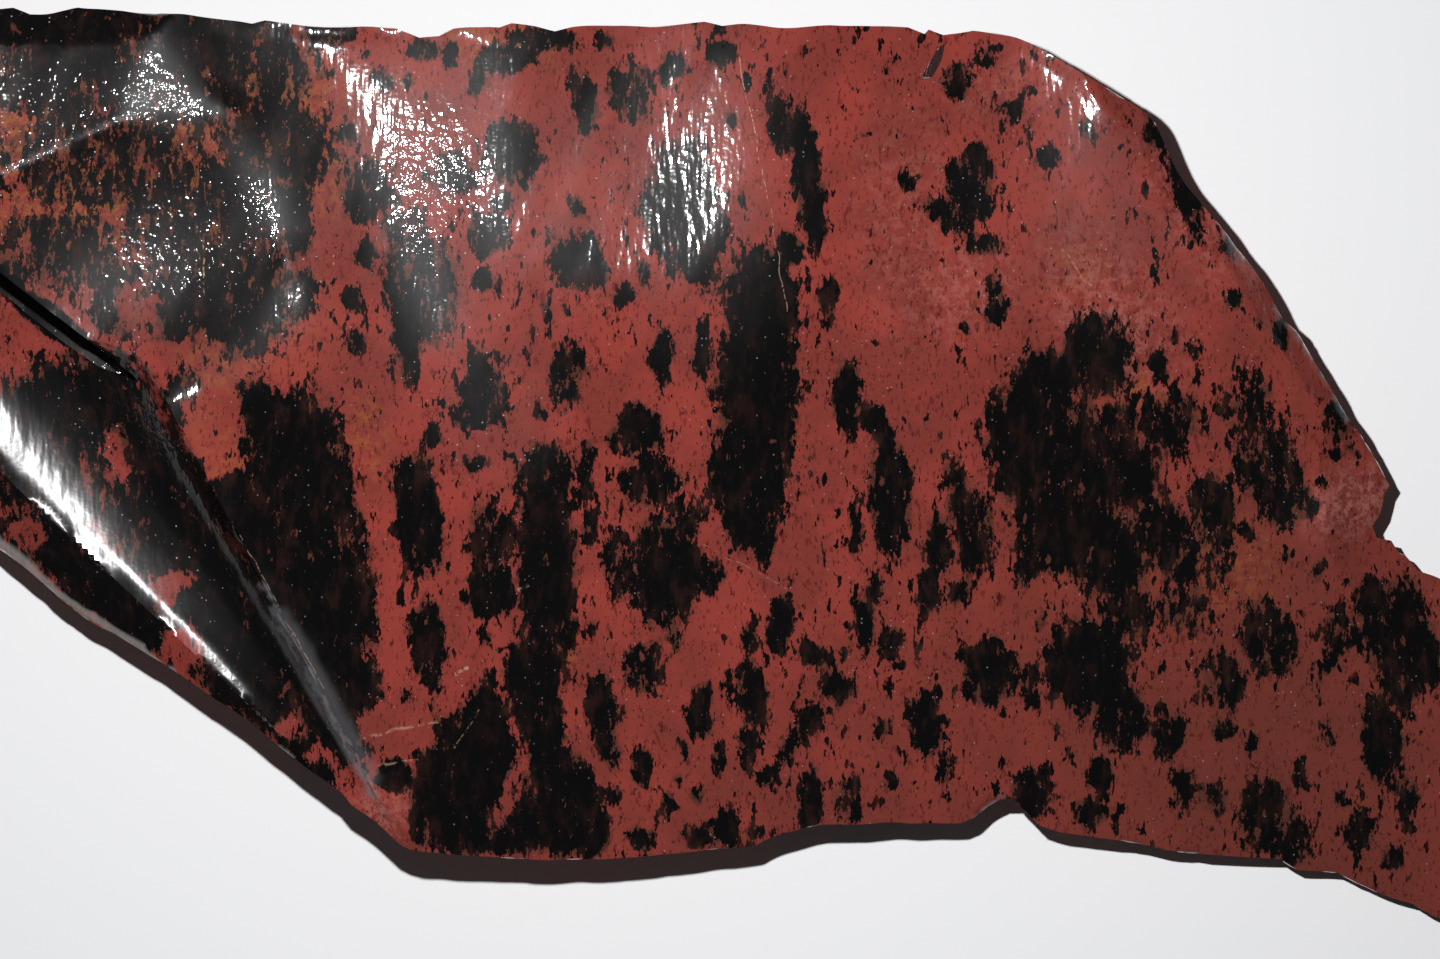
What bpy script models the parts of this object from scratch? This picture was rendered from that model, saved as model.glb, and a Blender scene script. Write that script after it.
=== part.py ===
# A hand-sized chunk of mahogany obsidian, lying on the flat break of its underside.
# X runs along its length, Y across it and Z up from the surface that it rests on.
# It is one solid: a block with the stone's outline, and every face of it is a break, cut by what broke it.
import math
import random

import bmesh
import bpy
from mathutils import Matrix, Vector, noise
from mathutils.bvhtree import BVHTree

MM = 0.001

# The big face, in millimetres: its height at the middle, how it falls to the right and rises to the far
# side, how it rolls over there, and how the thin end is kept from running out.
FACE_HEIGHT = 9.8
FALL_TO_RIGHT = 0.09
RISE_TO_FAR = 0.13
FAR_ROLL = 0.0030
THIN_END_FROM = 40.0
THIN_END_LIFT = 0.0065
SWELL = 0.16
SWELL_LENGTH = 13.0

# The stone's thin margin, and the scars on its underside that leave it so thin.
RIM = 1.1
UNDERCUT_EVERY = 13.5
UNDERCUT_RADIUS = 24.0
UNDERCUT_REACH = (4.5, 0.85)
UNDERCUT_SPARE = 3.0

BLOCK_HEIGHT = 32.0
FACET = 2.3
CUTTER_SPAN = 90.0
SCAR_CUT = 10.0

# The outline seen from above, in millimetres from its centre, clockwise from the far left.
FAR_EDGE = [
    (-50.4, 32.6), (-49.1, 32.8), (-47.8, 32.3), (-46.6, 32.3), (-44.6, 32.8), (-41.7, 32.6),
    (-40.1, 32.3), (-37.1, 32.3), (-35.4, 32.0), (-32.4, 31.7), (-31.6, 31.9), (-29.8, 31.6),
    (-27.2, 31.4), (-25.1, 31.5), (-22.5, 31.4), (-20.9, 30.7), (-19.7, 30.8), (-18.5, 31.4),
    (-16.8, 31.5), (-15.5, 31.4), (-14.6, 31.7), (-13.0, 31.6), (-11.5, 31.2), (-9.5, 31.7),
    (-4.4, 31.5), (-1.0, 31.9), (0.1, 31.6), (1.6, 31.8), (4.8, 31.4), (7.0, 31.7), (13.0, 31.7),
    (13.7, 31.4), (14.3, 31.2), (14.6, 31.5), (15.8, 31.1), (16.8, 31.2), (17.6, 31.4),
    (20.0, 31.2), (21.7, 30.6), (23.2, 29.7),
]
RIGHT_EDGE = [
    (25.9, 28.1), (27.6, 27.1), (28.9, 26.3), (29.7, 25.8), (30.5, 25.0), (31.4, 23.0),
    (32.0, 21.6), (32.8, 20.5), (35.1, 17.8), (37.1, 15.4), (38.4, 13.4), (39.6, 11.2),
    (40.6, 10.4), (41.7, 8.4), (42.7, 6.9), (44.0, 4.6), (45.3, 2.9), (46.3, 1.3), (47.2, -0.4),
    (46.9, -0.9), (46.6, -2.5), (46.0, -3.3), (46.3, -4.1), (47.4, -4.3), (47.9, -5.1),
    (48.9, -5.9), (49.3, -6.4), (50.4, -6.7),
]
THIN_END = [
    (52.9, -8.2), (54.8, -10.9), (57.6, -12.3), (60.3, -15.2), (61.1, -17.9), (63.9, -19.8),
    (64.8, -23.4), (66.7, -26.4), (66.1, -30.0), (62.7, -32.5), (58.4, -32.9), (54.3, -32.2),
]
NEAR_EDGE = [
    (50.4, -30.9), (48.9, -30.0), (47.7, -29.7), (45.1, -28.6), (43.8, -27.9), (42.5, -27.7),
    (40.8, -27.6), (39.5, -26.8), (36.1, -26.6), (33.7, -26.4), (31.6, -26.2), (29.7, -25.7),
    (26.5, -25.2), (23.9, -24.9), (22.4, -24.3), (21.4, -23.4), (20.7, -22.5), (19.8, -22.5),
    (18.8, -23.1), (17.9, -23.8), (16.8, -24.2), (13.7, -24.2), (10.9, -24.1), (9.8, -24.3),
    (7.4, -24.2), (4.6, -24.8), (3.2, -25.3), (2.5, -25.7), (-0.5, -26.0), (-2.2, -26.2),
    (-4.8, -26.4), (-7.6, -26.6), (-11.5, -26.7), (-14.0, -26.6), (-16.8, -26.4), (-19.7, -26.2),
    (-21.8, -25.9),
]
LEFT_EDGE = [
    (-22.4, -25.6), (-23.3, -24.7), (-24.6, -23.6), (-25.8, -22.9), (-26.5, -21.9), (-27.4, -21.4),
    (-29.0, -20.2), (-30.9, -18.7), (-33.0, -16.9), (-35.4, -15.4), (-37.8, -13.7), (-41.9, -11.2),
    (-44.0, -10.2), (-46.1, -8.6), (-48.2, -6.7), (-50.4, -5.0),
]
THICK_END = [
    (-53.2, -3.6), (-56.9, -0.3), (-60.4, 1.4), (-62.8, 5.2), (-66.1, 8.9), (-65.4, 13.4),
    (-66.7, 17.6), (-65.9, 22.3), (-62.6, 26.0), (-60.8, 30.1), (-57.1, 31.9), (-53.7, 32.9),
]
OUTLINE = FAR_EDGE + RIGHT_EDGE + THIN_END + NEAR_EDGE + LEFT_EDGE + THICK_END

# Scars on the upper side, each a bite of a ball: its deepest point, the way it faces there and its radius,
# and where the scar is longer one way, that heading and how many times longer.
SCARS = {
    "wide_dish": ((-26.4, 18.2, 12.5), (0.16, 0.06, 1), 46.0, 108.0, 1.4),
    "far_left_dish": ((-46.5, 15.5, 13.0), (0.19, -0.10, 1), 25.0, 25.0, 1.5),
    "far_left_hollow": ((-45.0, 26.5, 14.4), (-0.06, 0.10, 1), 60.0),
    "saddle": ((-41.4, 6.6, 10.8), (-0.50, -0.40, 1), 6.0),
    "arc_head": ((-23.5, 27.2, 12.0), (0.03, -0.012, 1), 14.0, 155.0, 2.2),
    "arc_tail": ((-19.6, 11.6, 11.45), (0.02, 0.034, 1), 16.0, 108.0, 2.5),
    "middle_dish": ((-7.6, 23.0, 11.1), (0.09, 0.01, 1), 62.0, 62.0, 1.6),
    "low_middle_dish": ((-13.5, 2.5, 10.5), (0.09, -0.125, 1), 110.0, 100.0, 1.5),
    "far_right_dish": ((20.0, 21.6, 8.65), (0.09, 0.0, 1), 42.0, 128.0, 1.5),
    "crest_dish": ((22.8, 24.9, 8.25), (-0.06, 0.14, 1), 15.0, 140.0, 2.2),
    "right_dish": ((34.0, -3.0, 5.75), (0.09, -0.13, 1), 90.0, 120.0, 1.6),
    "right_shoulder": ((33.3, 19.6, 6.9), (0.50, 0.30, 1), 14.0, 125.0, 1.4),
    "right_corner": ((45.9, -1.9, 4.1), (0.30, 0.12, 1), 13.0),
    "notch_lip": ((49.6, -8.6, 3.3), (0.16, 0.30, 1), 16.0),
    "slit_lip": ((15.0, 31.4, 8.9), (0.05, 0.45, 1), 8.0),
    "thin_end": ((60.5, -19.5, 3.1), (0.25, 0.22, 1), 40.0),
    "thick_end_low": ((-61.5, 6.0, 10.4), (-0.50, -0.32, 1), 26.0),
    "thick_end_high": ((-63.5, 22.5, 12.2), (-0.55, 0.14, 1), 30.0),
    "far_left_edge": ((-47.0, 31.5, 13.2), (-0.05, 0.55, 1), 24.0, 0.0, 1.4),
    "far_chip_a": ((-20.6, 31.3, 12.7), (0.10, 1.00, 1), 4.5),
    "far_chip_b": ((-6.8, 32.2, 11.1), (-0.10, 0.90, 1), 7.0),
    "far_chip_c": ((5.8, 32.0, 10.0), (0.10, 0.80, 1), 6.0),
    "right_chip": ((36.3, 16.9, 5.6), (0.90, 0.50, 1), 5.0),
    "near_chip_a": ((20.3, -22.9, 4.4), (0.00, -0.60, 1), 4.0),
    "near_chip_b": ((2.7, -26.0, 5.9), (0.20, -0.80, 1), 5.0),
    "near_chip_c": ((-9.5, -27.0, 6.8), (-0.10, -0.90, 1), 6.5),
    "near_chip_d": ((31.2, -26.6, 3.1), (0.10, -0.80, 1), 6.0),
    "thick_chip": ((-63.0, 26.5, 11.6), (-0.60, 0.50, 1), 7.0),
    "thin_chip": ((64.0, -25.0, 3.2), (0.80, 0.40, 1), 6.0),
}

# Flat breaks along the margin: a point on each, the way it falls away seen from above, and how steeply.
BEVELS = {
    "near_left_bevel": ((-36.4, -14.7, 7.1), 233.1, 0.70, 0.05, 323.1),
    "far_right_bevel": ((25.4, 27.2, 8.9), 45.6, 0.55, 0.045, 135.6),
    "right_bevel": ((40.0, 8.2, 7.0), 33.6, 0.95, 0.10, 123.6),
}

# The flute: a cone-shaped scar that opens leftwards from the near corner, where the blow fell.
CORNER = (-22.0, -26.4, 7.9)
FLUTE_HEADING = 130.9
FLUTE_RISE = 0.255
FLUTE_SPREAD = 0.252
FLUTE_LENGTH = 75.0
# It stops at a step along this line, where the layer above it held.
STEP_START = (-40.5, 6.9)
STEP_HEADING = 142.1

# The crack along the foot of that step: a wedge that ends at the ridge, and the height of its floor.
CRACK = [
    (-40.2, 6.75), (-43.3, 7.85), (-46.1, 9.8), (-50.3, 13.1), (-55.6, 17.5), (-60.5, 22.5),
    (-55.2, 18.45), (-50.2, 14.55), (-45.0, 10.5),
]
CRACK_FLOOR = 7.7

# The slit through the thin margin near the far right.
SLIT = [(15.5, 30.45), (15.85, 30.4), (15.55, 29.3), (14.85, 28.15), (14.05, 27.95), (14.7, 29.35)]

# Shallow scars on the underside that break up the flat it rests on.
UNDER_SCARS = {
    "under_far_left": ((-47.0, 13.5, 1.7), (-0.10, 0.06, -1), 45.0, 150.0, 1.3),
    "under_left": ((-30.5, -1.0, 1.1), (-0.05, -0.06, -1), 52.0, 140.0, 1.7),
    "under_far_middle": ((-21.0, 15.5, 1.4), (0.00, 0.09, -1), 60.0, 10.0, 1.4),
    "under_near_middle": ((-9.0, -13.5, 1.2), (0.00, -0.08, -1), 58.0, 170.0, 1.6),
    "under_far_right": ((9.5, 13.0, 1.3), (0.02, 0.06, -1), 50.0, 160.0, 1.5),
    "under_right": ((22.5, -5.0, 1.0), (0.06, -0.02, -1), 50.0, 100.0, 1.5),
    "under_thin_end": ((44.0, -17.5, 0.9), (0.05, 0.04, -1), 60.0, 140.0, 1.3),
}


def heading(degrees):
    """The level unit vector at this angle from X."""
    return Vector((math.cos(math.radians(degrees)), math.sin(math.radians(degrees)), 0.0))


def face_height(x, y):
    """Height of the big face before any scar, in millimetres."""
    height = FACE_HEIGHT - FALL_TO_RIGHT * x + RISE_TO_FAR * y
    height -= FAR_ROLL * max(y, 0.0) ** 2
    height += THIN_END_LIFT * max(x - THIN_END_FROM, 0.0) ** 2
    return height + SWELL * noise.noise(Vector((x, y, 0.0)) / SWELL_LENGTH)


def ball_centre(deepest, facing, radius):
    return Vector(deepest) + Vector(facing).normalized() * radius


def bevel_normal(falls_to, steepness, drift, drifts_to):
    """Upward normal of a bevel that falls steeply one way and drifts gently another."""
    return Vector((0, 0, 1)) + heading(falls_to) * steepness - heading(drifts_to) * drift


def top_height(point, upper_cutters):
    """Height of the upper side over a point, in millimetres: where the first cutter over it begins."""
    heights = []
    for tree in upper_cutters:
        hit = tree.ray_cast(point * MM, Vector((0, 0, 1)))[0]
        if hit:
            heights.append(hit.z / MM)
    return min(heights)


def new_object(name, mesh, collection):
    obj = bpy.data.objects.new(name, mesh)
    collection.objects.link(obj)
    return obj


def outline_block(collection):
    """The block that the stone is broken from: its outline, extruded."""
    curve = bpy.data.curves.new("outline", "CURVE")
    curve.dimensions = "2D"
    curve.fill_mode = "BOTH"
    curve.extrude = BLOCK_HEIGHT / 2 * MM
    spline = curve.splines.new("POLY")
    spline.points.add(len(OUTLINE) - 1)
    for point, (x, y) in zip(spline.points, OUTLINE):
        point.co = (x * MM, y * MM, 0, 1)
    spline.use_cyclic_u = True
    return solid_from_curve("obsidian_chunk", curve, BLOCK_HEIGHT / 2 * MM, collection)


def solid_from_curve(name, curve, lift, collection):
    """A flat curve's extrusion as a closed mesh, raised by lift."""
    shape = new_object(name + "_outline", curve, collection)
    bpy.context.view_layer.update()
    seen = shape.evaluated_get(bpy.context.evaluated_depsgraph_get())
    mesh = bpy.data.meshes.new_from_object(seen)
    bpy.data.objects.remove(shape)
    mesh.transform(Matrix.Translation((0, 0, lift)))
    tidy = bmesh.new()
    tidy.from_mesh(mesh)
    bmesh.ops.remove_doubles(tidy, verts=tidy.verts, dist=0.00001)
    tidy.to_mesh(mesh)
    tidy.free()
    mesh.name = name
    return new_object(name, mesh, collection)


def mesh_cutter(name, shape, collection):
    mesh = bpy.data.meshes.new(name)
    shape.to_mesh(mesh)
    shape.free()
    cutter = new_object(name, mesh, collection)
    cutter.hide_render = True
    cutter.display_type = "WIRE"
    return cutter


def face_cutter(collection):
    """All that lies above the big face: a grid set to its height, and extruded upwards."""
    shape = bmesh.new()
    across = 2 * round(CUTTER_SPAN * 0.82 / FACET)
    along = 2 * round(CUTTER_SPAN * 0.42 / FACET)
    half_x, half_y = across * FACET / 2, along * FACET / 2
    bmesh.ops.create_grid(shape, x_segments=across, y_segments=along, size=1.0)
    for vert in shape.verts:
        x, y = vert.co.x * half_x, vert.co.y * half_y
        vert.co = Vector((x, y, face_height(x, y))) * MM
    raised = bmesh.ops.extrude_face_region(shape, geom=shape.faces[:])
    for item in raised["geom"]:
        if isinstance(item, bmesh.types.BMVert):
            item.co.z = 1.5 * BLOCK_HEIGHT * MM
    bmesh.ops.recalc_face_normals(shape, faces=shape.faces)
    return mesh_cutter("above_big_face", shape, collection)


def cut_off(shape, point, normal):
    """Cut a closed shape flat at a plane, and leave what lies behind it."""
    everything = shape.verts[:] + shape.edges[:] + shape.faces[:]
    cut = bmesh.ops.bisect_plane(shape, geom=everything, plane_co=point * MM, plane_no=normal,
                                 clear_outer=True)
    rim = [item for item in cut["geom_cut"] if isinstance(item, bmesh.types.BMEdge)]
    bmesh.ops.holes_fill(shape, edges=rim, sides=0)
    bmesh.ops.recalc_face_normals(shape, faces=shape.faces)


def ball_cutter(collection, name, deepest, facing, radius, longer_way=0.0, longer=1.0, depth=SCAR_CUT):
    """The bite of a ball: its surface around the deepest point, where its facets have an even size."""
    shape = bmesh.new()
    around = max(24, 2 * round(math.pi * radius / FACET))
    bmesh.ops.create_uvsphere(shape, u_segments=around, v_segments=around // 2, radius=radius * MM)
    out = Vector(facing).normalized()
    turn = Vector((1, 0, 0)).rotation_difference(-out)
    place = Matrix.Translation(ball_centre(deepest, facing, radius) * MM) @ turn.to_matrix().to_4x4()
    shape.transform(place)
    to_deepest = Matrix.Translation(Vector(deepest) * MM)
    stretch = Matrix.Scale(longer, 4, heading(longer_way))
    shape.transform(to_deepest @ stretch @ to_deepest.inverted())
    cut_off(shape, Vector(deepest) + out * min(depth, radius), out)
    return mesh_cutter(name, shape, collection)


def bevel_cutter(name, point, way, collection):
    """A box whose lower face is the bevel."""
    shape = bmesh.new()
    bmesh.ops.create_cube(shape, size=CUTTER_SPAN * MM)
    turn = bevel_normal(*way).to_track_quat("Z", "Y")
    middle = Vector(point) + turn @ Vector((0, 0, CUTTER_SPAN / 2))
    shape.transform(Matrix.Translation(middle * MM) @ turn.to_matrix().to_4x4())
    return mesh_cutter(name, shape, collection)


def flute_cutter(collection):
    """A cone with its point at the near corner, cut off upright along the step."""
    shape = bmesh.new()
    wide_end = FLUTE_SPREAD * FLUTE_LENGTH
    bmesh.ops.create_cone(shape, cap_ends=True, segments=72, radius1=wide_end * MM, radius2=0.05 * MM,
                          depth=FLUTE_LENGTH * MM)
    axis = heading(FLUTE_HEADING) + Vector((0, 0, FLUTE_RISE))
    turn = (-axis).to_track_quat("Z", "Y")
    middle = Vector(CORNER) + axis.normalized() * FLUTE_LENGTH / 2
    shape.transform(Matrix.Translation(middle * MM) @ turn.to_matrix().to_4x4())
    cut_off(shape, Vector((*STEP_START, 0)), heading(STEP_HEADING - 90))
    return mesh_cutter("flute", shape, collection)


def upright_cutter(name, corners, floor, collection):
    """All that stands above a level outline, from the floor's height up."""
    curve = bpy.data.curves.new(name, "CURVE")
    curve.dimensions = "2D"
    curve.fill_mode = "BOTH"
    curve.extrude = BLOCK_HEIGHT * MM
    spline = curve.splines.new("POLY")
    spline.points.add(len(corners) - 1)
    for point, (x, y) in zip(spline.points, corners):
        point.co = (x * MM, y * MM, 0, 1)
    spline.use_cyclic_u = True
    cutter = solid_from_curve(name, curve, (floor + BLOCK_HEIGHT) * MM, collection)
    cutter.hide_render = True
    cutter.display_type = "WIRE"
    return cutter


def along_outline(spacing):
    """Points spaced along the outline, each with the level unit vector that points into the stone."""
    corners = [Vector((x, y, 0)) for x, y in OUTLINE]
    lengths = [(corners[i] - corners[i - 1]).length for i in range(len(corners))]
    count = round(sum(lengths) / spacing)
    step = sum(lengths) / count
    travelled, wanted = 0.0, 0.0
    for i, length in enumerate(lengths):
        while wanted <= travelled + length and wanted < step * count - 0.01:
            point = corners[i - 1].lerp(corners[i], (wanted - travelled) / length)
            chord = corners[(i + 3) % len(corners)] - corners[i - 4]
            yield point, Vector((chord.y, -chord.x, 0)).normalized()
            wanted += step
        travelled += length


def undercut_cutters(upper_cutters, collection):
    """A ring of scars under the margin, struck from its edge, that thin it to a rim."""
    chance = random.Random(4)
    for i, (point, inward) in enumerate(along_outline(UNDERCUT_EVERY)):
        nearby = [point + inward * depth for depth in (0.3, 1.0, 2.0)]
        edge_height = min(top_height(place, upper_cutters) for place in nearby) - RIM
        edge = Vector((point.x, point.y, max(edge_height, 0.9)))
        reach = UNDERCUT_REACH[0] + UNDERCUT_REACH[1] * edge.z + chance.uniform(0.0, 2.0)
        foot = point + inward * reach
        radius = UNDERCUT_RADIUS * chance.uniform(0.8, 1.3)
        chord = foot - edge
        outward = Vector((0, 0, -1)) - inward * (edge.z / reach)
        outward -= chord * outward.dot(chord) / chord.length_squared
        sagitta = radius - math.sqrt(radius ** 2 - chord.length_squared / 4)
        deepest = (edge + foot) / 2 - outward.normalized() * sagitta
        depth = sagitta + edge.z * reach / chord.length + UNDERCUT_SPARE
        ball_cutter(collection, f"undercut_{i:02d}", deepest, outward, radius, depth=depth)


def obsidian():
    """Mahogany obsidian: red-brown volcanic glass with a glossy break."""
    material = bpy.data.materials.new("mahogany_obsidian")
    material.use_nodes = True
    shader = material.node_tree.nodes["Principled BSDF"]
    shader.inputs["Base Color"].default_value = (0.20, 0.045, 0.032, 1)
    shader.inputs["Roughness"].default_value = 0.22
    shader.inputs["Metallic"].default_value = 0.0
    return material


def centre_on_origin(chunk, objects):
    """Move everything level, so that the finished stone is centred over the origin."""
    bpy.context.view_layer.update()
    finished = chunk.evaluated_get(bpy.context.evaluated_depsgraph_get())
    corners = [Vector(corner) for corner in finished.bound_box]
    middle = sum(corners, Vector()) / 8
    middle.z = 0
    for obj in objects:
        obj.location -= middle


def new_collection(name):
    collection = bpy.data.collections.new(name)
    bpy.context.scene.collection.children.link(collection)
    return collection


def main():
    for obj in list(bpy.data.objects):
        bpy.data.objects.remove(obj)
    stone = new_collection("obsidian_chunk")
    cutting = new_collection("cutters")
    chunk = outline_block(stone)
    upper = [face_cutter(cutting), flute_cutter(cutting)]
    upper += [ball_cutter(cutting, name, *scar) for name, scar in SCARS.items()]
    upper += [bevel_cutter(name, point, way, cutting) for name, (point, *way) in BEVELS.items()]
    bpy.context.view_layer.update()
    graph = bpy.context.evaluated_depsgraph_get()
    undercut_cutters([BVHTree.FromObject(cutter, graph) for cutter in upper], cutting)
    for name, scar in UNDER_SCARS.items():
        ball_cutter(cutting, name, *scar)
    upright_cutter("crack", CRACK, CRACK_FLOOR, cutting)
    upright_cutter("slit", SLIT, -BLOCK_HEIGHT, cutting)
    breaks = chunk.modifiers.new("breaks", "BOOLEAN")
    breaks.operation = "DIFFERENCE"
    breaks.solver = "MANIFOLD"
    breaks.operand_type = "COLLECTION"
    breaks.collection = cutting
    slivers = chunk.modifiers.new("slivers", "WELD")
    slivers.merge_threshold = 0.00002
    chunk.data.materials.append(obsidian())
    centre_on_origin(chunk, [chunk, *cutting.objects])


main()
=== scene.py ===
import math
import random

import bmesh
import bpy
import numpy as np
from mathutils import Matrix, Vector, noise
from mathutils.kdtree import KDTree


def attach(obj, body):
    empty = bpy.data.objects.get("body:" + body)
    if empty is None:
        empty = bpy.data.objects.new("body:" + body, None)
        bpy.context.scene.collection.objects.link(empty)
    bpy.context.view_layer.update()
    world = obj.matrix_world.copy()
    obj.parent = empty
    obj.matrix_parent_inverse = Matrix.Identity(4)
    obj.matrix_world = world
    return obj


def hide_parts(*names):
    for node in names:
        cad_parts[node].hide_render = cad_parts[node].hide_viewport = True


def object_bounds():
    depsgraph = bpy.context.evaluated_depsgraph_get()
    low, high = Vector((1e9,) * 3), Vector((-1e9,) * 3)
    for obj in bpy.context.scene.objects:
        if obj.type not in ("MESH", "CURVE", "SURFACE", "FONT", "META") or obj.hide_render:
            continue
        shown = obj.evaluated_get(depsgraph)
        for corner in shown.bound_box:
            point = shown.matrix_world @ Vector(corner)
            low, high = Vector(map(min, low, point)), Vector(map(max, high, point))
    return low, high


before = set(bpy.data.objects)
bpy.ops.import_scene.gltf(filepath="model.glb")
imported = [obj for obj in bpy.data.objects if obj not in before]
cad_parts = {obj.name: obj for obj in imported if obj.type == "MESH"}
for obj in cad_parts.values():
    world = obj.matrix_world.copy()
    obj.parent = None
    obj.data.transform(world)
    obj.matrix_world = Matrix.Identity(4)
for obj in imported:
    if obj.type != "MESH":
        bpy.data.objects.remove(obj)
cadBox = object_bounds()
mm = 0.001
print("frame loaded")


# helpers for the shader, the meshes and the noise

class Wire:
    # one output of a node tree, so that shader maths reads as plain expressions
    def __init__(self, tree, socket):
        self.tree = tree
        self.socket = socket

    def add(self, kind, settings=None, **inputs):
        # i0, i1 and so on are inputs by number, and all others are inputs by name
        node = self.tree.nodes.new(kind)
        for name, value in (settings or {}).items():
            setattr(node, name, value)
        for name, value in inputs.items():
            key = int(name[1:]) if name[0] == "i" and name[1:].isdigit() else name.replace("_", " ")
            if isinstance(value, Wire):
                self.tree.links.new(value.socket, node.inputs[key])
            else:
                node.inputs[key].default_value = value
        return node

    def out(self, kind, output, settings=None, **inputs):
        return Wire(self.tree, self.add(kind, settings, **inputs).outputs[output])

    def maths(self, operation, a, b=0.0):
        return self.out("ShaderNodeMath", 0, {"operation": operation}, i0=a, i1=b)

    def __add__(self, other):
        return self.maths("ADD", self, other)

    def __radd__(self, other):
        return self.maths("ADD", other, self)

    def __sub__(self, other):
        return self.maths("SUBTRACT", self, other)

    def __rsub__(self, other):
        return self.maths("SUBTRACT", other, self)

    def __mul__(self, other):
        return self.maths("MULTIPLY", self, other)

    def __rmul__(self, other):
        return self.maths("MULTIPLY", other, self)

    def above(self, low, high):
        # 0 below low, 1 above high, and a soft step between
        return self.out("ShaderNodeMapRange", 0, {"interpolation_type": "SMOOTHSTEP"},
                        Value=self, From_Min=low, From_Max=high)

    def larger(self, other):
        return self.maths("MAXIMUM", self, other)

    def blend(self, first, second):
        # self mixes two colours
        return self.out("ShaderNodeMix", 2, {"data_type": "RGBA"}, i0=self, i6=first, i7=second)


def selectOnly(piece):
    bpy.ops.object.select_all(action="DESELECT")
    piece.select_set(True)
    bpy.context.view_layer.objects.active = piece


def applyModifier(piece, kind, **settings):
    modifier = piece.modifiers.new(kind.lower(), kind)
    for name, value in settings.items():
        setattr(modifier, name, value)
    selectOnly(piece)
    bpy.ops.object.modifier_apply(modifier=modifier.name)


def readPoints(mesh):
    flat = np.empty(len(mesh.vertices) * 3)
    mesh.vertices.foreach_get("co", flat)
    return flat.reshape(-1, 3)


def readNormals(mesh):
    flat = np.empty(len(mesh.vertices) * 3)
    mesh.vertices.foreach_get("normal", flat)
    return flat.reshape(-1, 3)


def softStep(values, low, high):
    t = np.clip((values - low) / (high - low), 0, 1)
    return t * t * (3 - 2 * t)


def noiseAt(points, scale, offset=0.0):
    # smooth noise at points given in millimetres; scale is the size of its lumps on each axis
    shift = Vector((offset, offset * 0.37, -offset))
    return np.array([noise.noise(Vector(p / scale) + shift) for p in points])


def patchField(points, rows, softness):
    # how deep inside the rows' ellipses each point lies: 1 in the middle, 0.5 at the edge
    field = np.zeros(len(points))
    veins = np.zeros(len(points))
    for x, y, halfWidth, halfLength, tilt, strength in rows:
        soft = softness + 0.22 / halfWidth   # narrow patches have softer edges
        near = np.flatnonzero(np.hypot(points[:, 0] - x, points[:, 1] - y)
                              < (1 + soft) * max(halfWidth, halfLength))
        dx, dy = points[near, 0] - x, points[near, 1] - y
        c, s = math.cos(math.radians(tilt)), math.sin(math.radians(tilt))
        away = np.hypot((dx * c + dy * s) / halfWidth, (dy * c - dx * s) / halfLength)
        level = abs(strength) * (1 - softStep(away, 1 - soft, 1 + soft))
        target = field if strength > 0 else veins
        target[near] = np.maximum(target[near], level)
    return np.clip(field - 1.1 * veins, 0, 1)


# the stone's shape
shape = {
    "mergeWithin": 0.002,     # mm
    "remeshDepth": 9,
    "remeshScale": 0.62,
    "ridgeAngle": 17.0,       # degrees: sharper edges than this stay crisp
    "lowRimAngle": 32.0,      # degrees: on the upper face only sharper edges than this stay
    "ridgeSmoothing": 8,      # rounds of smoothing, as the next two
    "smoothing": 36,
    "melting": 150,
    "meltFromRidge": 1.2,     # how far from a ridge the melting starts, mm
    "meltAbove": 0.93,        # only faces that look up more than this melt
    "stretch": 0.16,          # the streaks' width as a share of their length
    "streakLean": 8.0,        # degrees that the patches lean to the left at the far side
    "hackleLean": -24.0,      # the same for the hackles, which lean to the right
    "swell": (0.050, 6.0),    # height and width of the broad ripples, mm
    "ripples": (0.10, 3.4),   # the same for the ripples of the rippled places
    "rippled": [
        (-1.5, 24.0, 6.5, 11.0, 0, 1.0), (-22.0, 23.0, 8.0, 8.0, 0, 0.7), (27.0, 25.0, 6.0, 6.0, 0, 0.5),
        (-44.0, 24.0, 10.0, 8.0, 0, 0.6), (-12.0, 20.0, 5.0, 6.0, 0, 0.6),
    ],
    "rippledSoftness": 0.7,   # how soft a rippled place is at its edge
    "streaks": (0.026, 1.3),  # the same as the ripples for the streaky hackles
    "grain": (0.006, 0.9),    # and of the fine grain
    "ridgeNicks": (0.16, 1.9),   # how far the ridges are nicked and how far apart, mm
    "boxMargin": 0.01,        # how far all the relief stays inside the solid's own box, mm
    "creaseAngle": 32.0,      # degrees: sharper edges than this shade as creases
}

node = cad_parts["obsidian_chunk"]
stone = node.copy()
stone.data = node.data.copy()
stone.parent = None
stone.name = "mahoganyStone"
bpy.context.scene.collection.objects.link(stone)
selectOnly(stone)
bpy.ops.object.mode_set(mode="EDIT")
bpy.ops.mesh.select_all(action="SELECT")
bpy.ops.mesh.remove_doubles(threshold=shape["mergeWithin"] * mm)
bpy.ops.object.mode_set(mode="OBJECT")
stone.data.materials.clear()
applyModifier(stone, "REMESH", mode="SHARP", octree_depth=shape["remeshDepth"],
              scale=shape["remeshScale"], sharpness=1.0, use_remove_disconnected=False)
print("remeshed:", len(stone.data.vertices), "points")

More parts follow.
